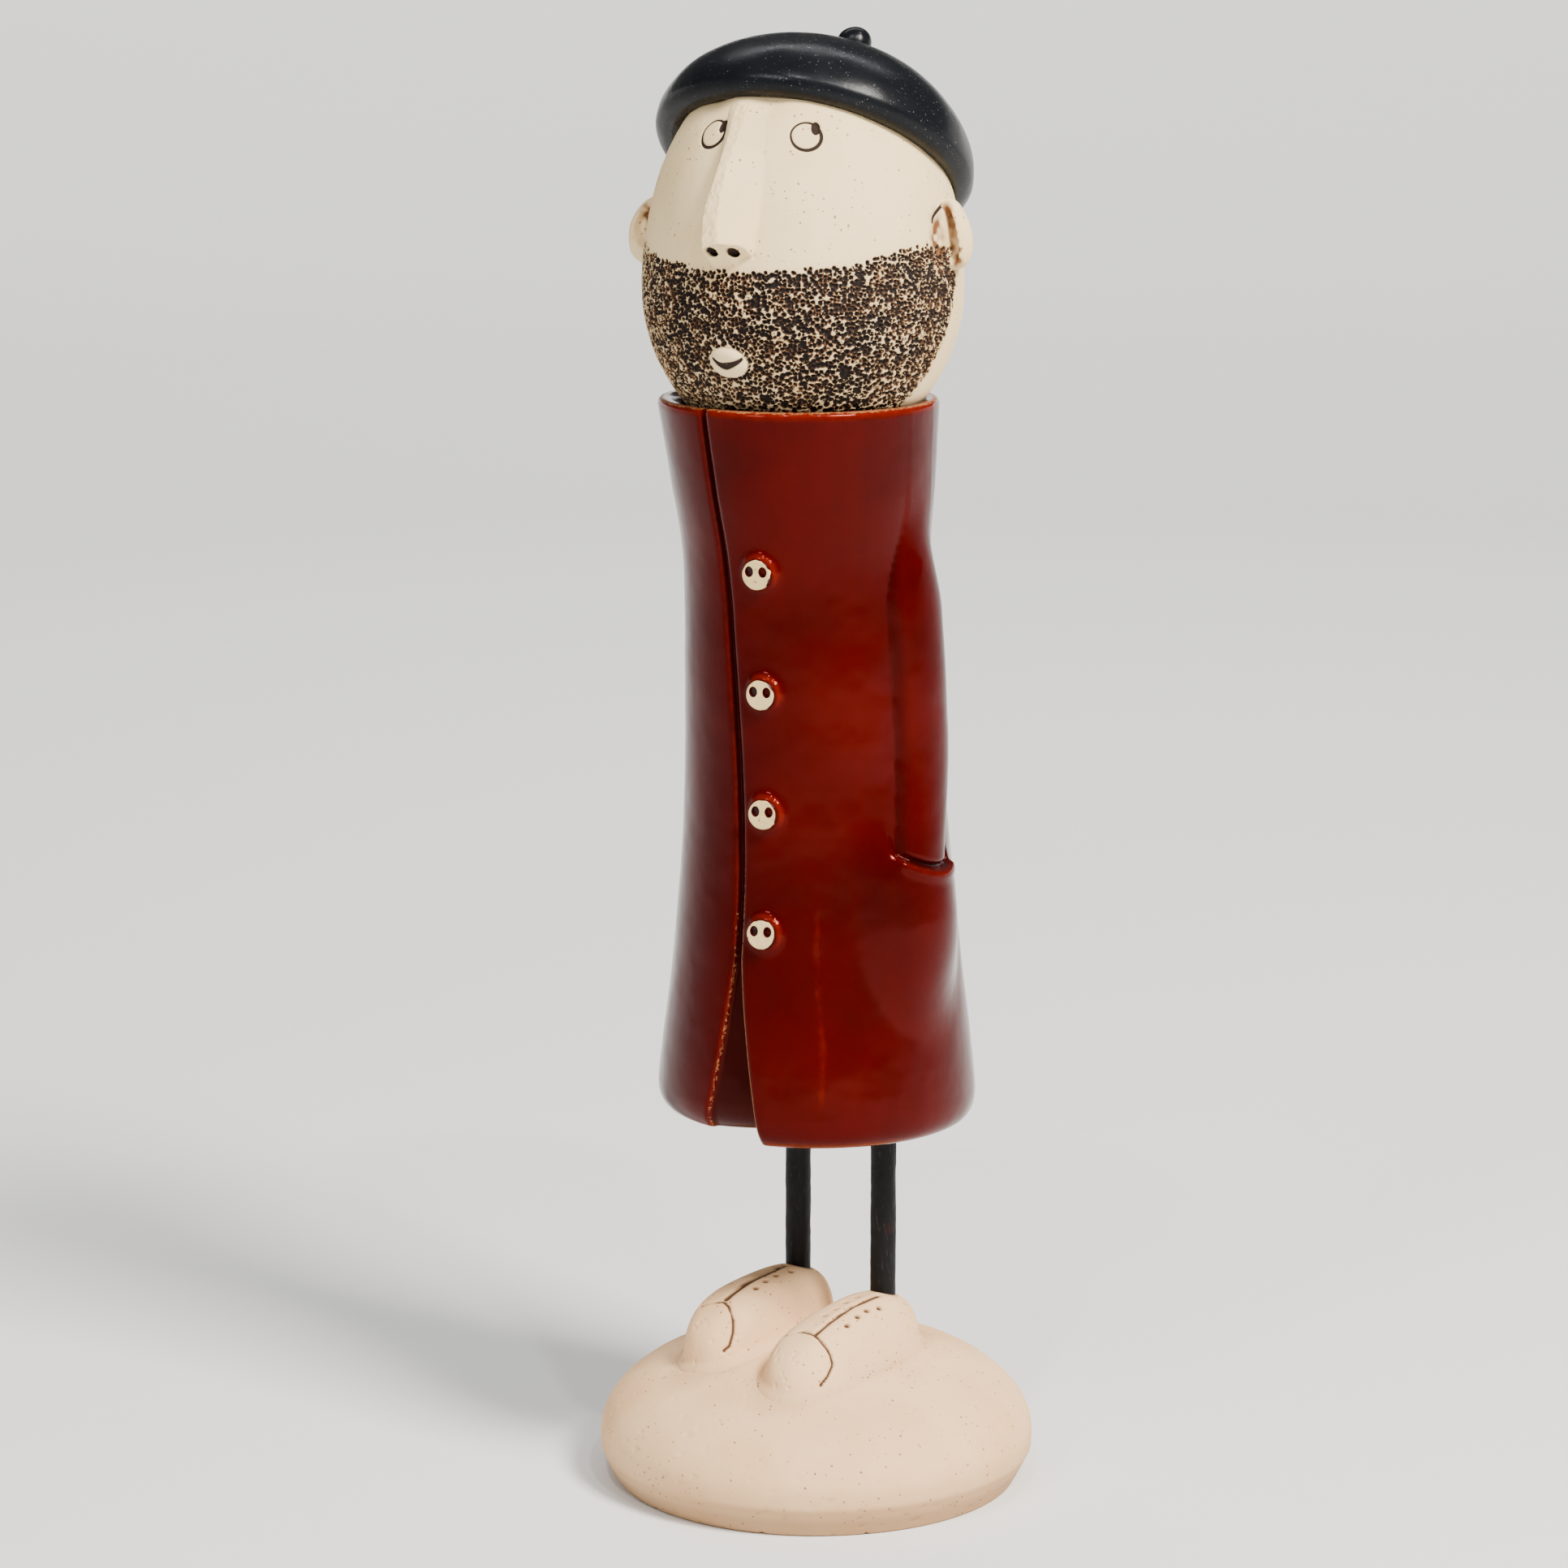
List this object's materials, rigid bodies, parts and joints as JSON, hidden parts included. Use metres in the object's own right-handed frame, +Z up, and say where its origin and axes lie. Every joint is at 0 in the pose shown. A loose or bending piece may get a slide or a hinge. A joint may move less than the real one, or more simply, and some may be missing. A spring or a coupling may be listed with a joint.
{
  "type": "ceramic figurine",
  "caption": "Ceramic man figurine: egg-shaped head with stippled beard under a beret, long rolled-slab coat on two thin rods, shoes on a pebble base.",
  "frame": {"origin": "centre of the base's flat foot, on the surface that the figurine stands on", "axes": "+Z up through the head; -Y the side that the coat's lapped front edge and the shoes' toes face; +X the figure's left"},
  "size_m": [0.12, 0.12, 0.3964],
  "materials": {
    "base_clay": "matte",
    "black_iron": "matte",
    "red_glaze": "gloss",
    "button_clay": "matte",
    "face_clay": "matte",
    "beret_glaze": "satin"
  },
  "bodies": {
    "root": {"base": "base_clay", "leg_left": "black_iron", "leg_right": "black_iron", "coat": "red_glaze", "button_1": "button_clay", "button_2": "button_clay", "button_3": "button_clay", "button_4": "button_clay", "head": "face_clay", "beret": "beret_glaze"}
  },
  "joints": []
}
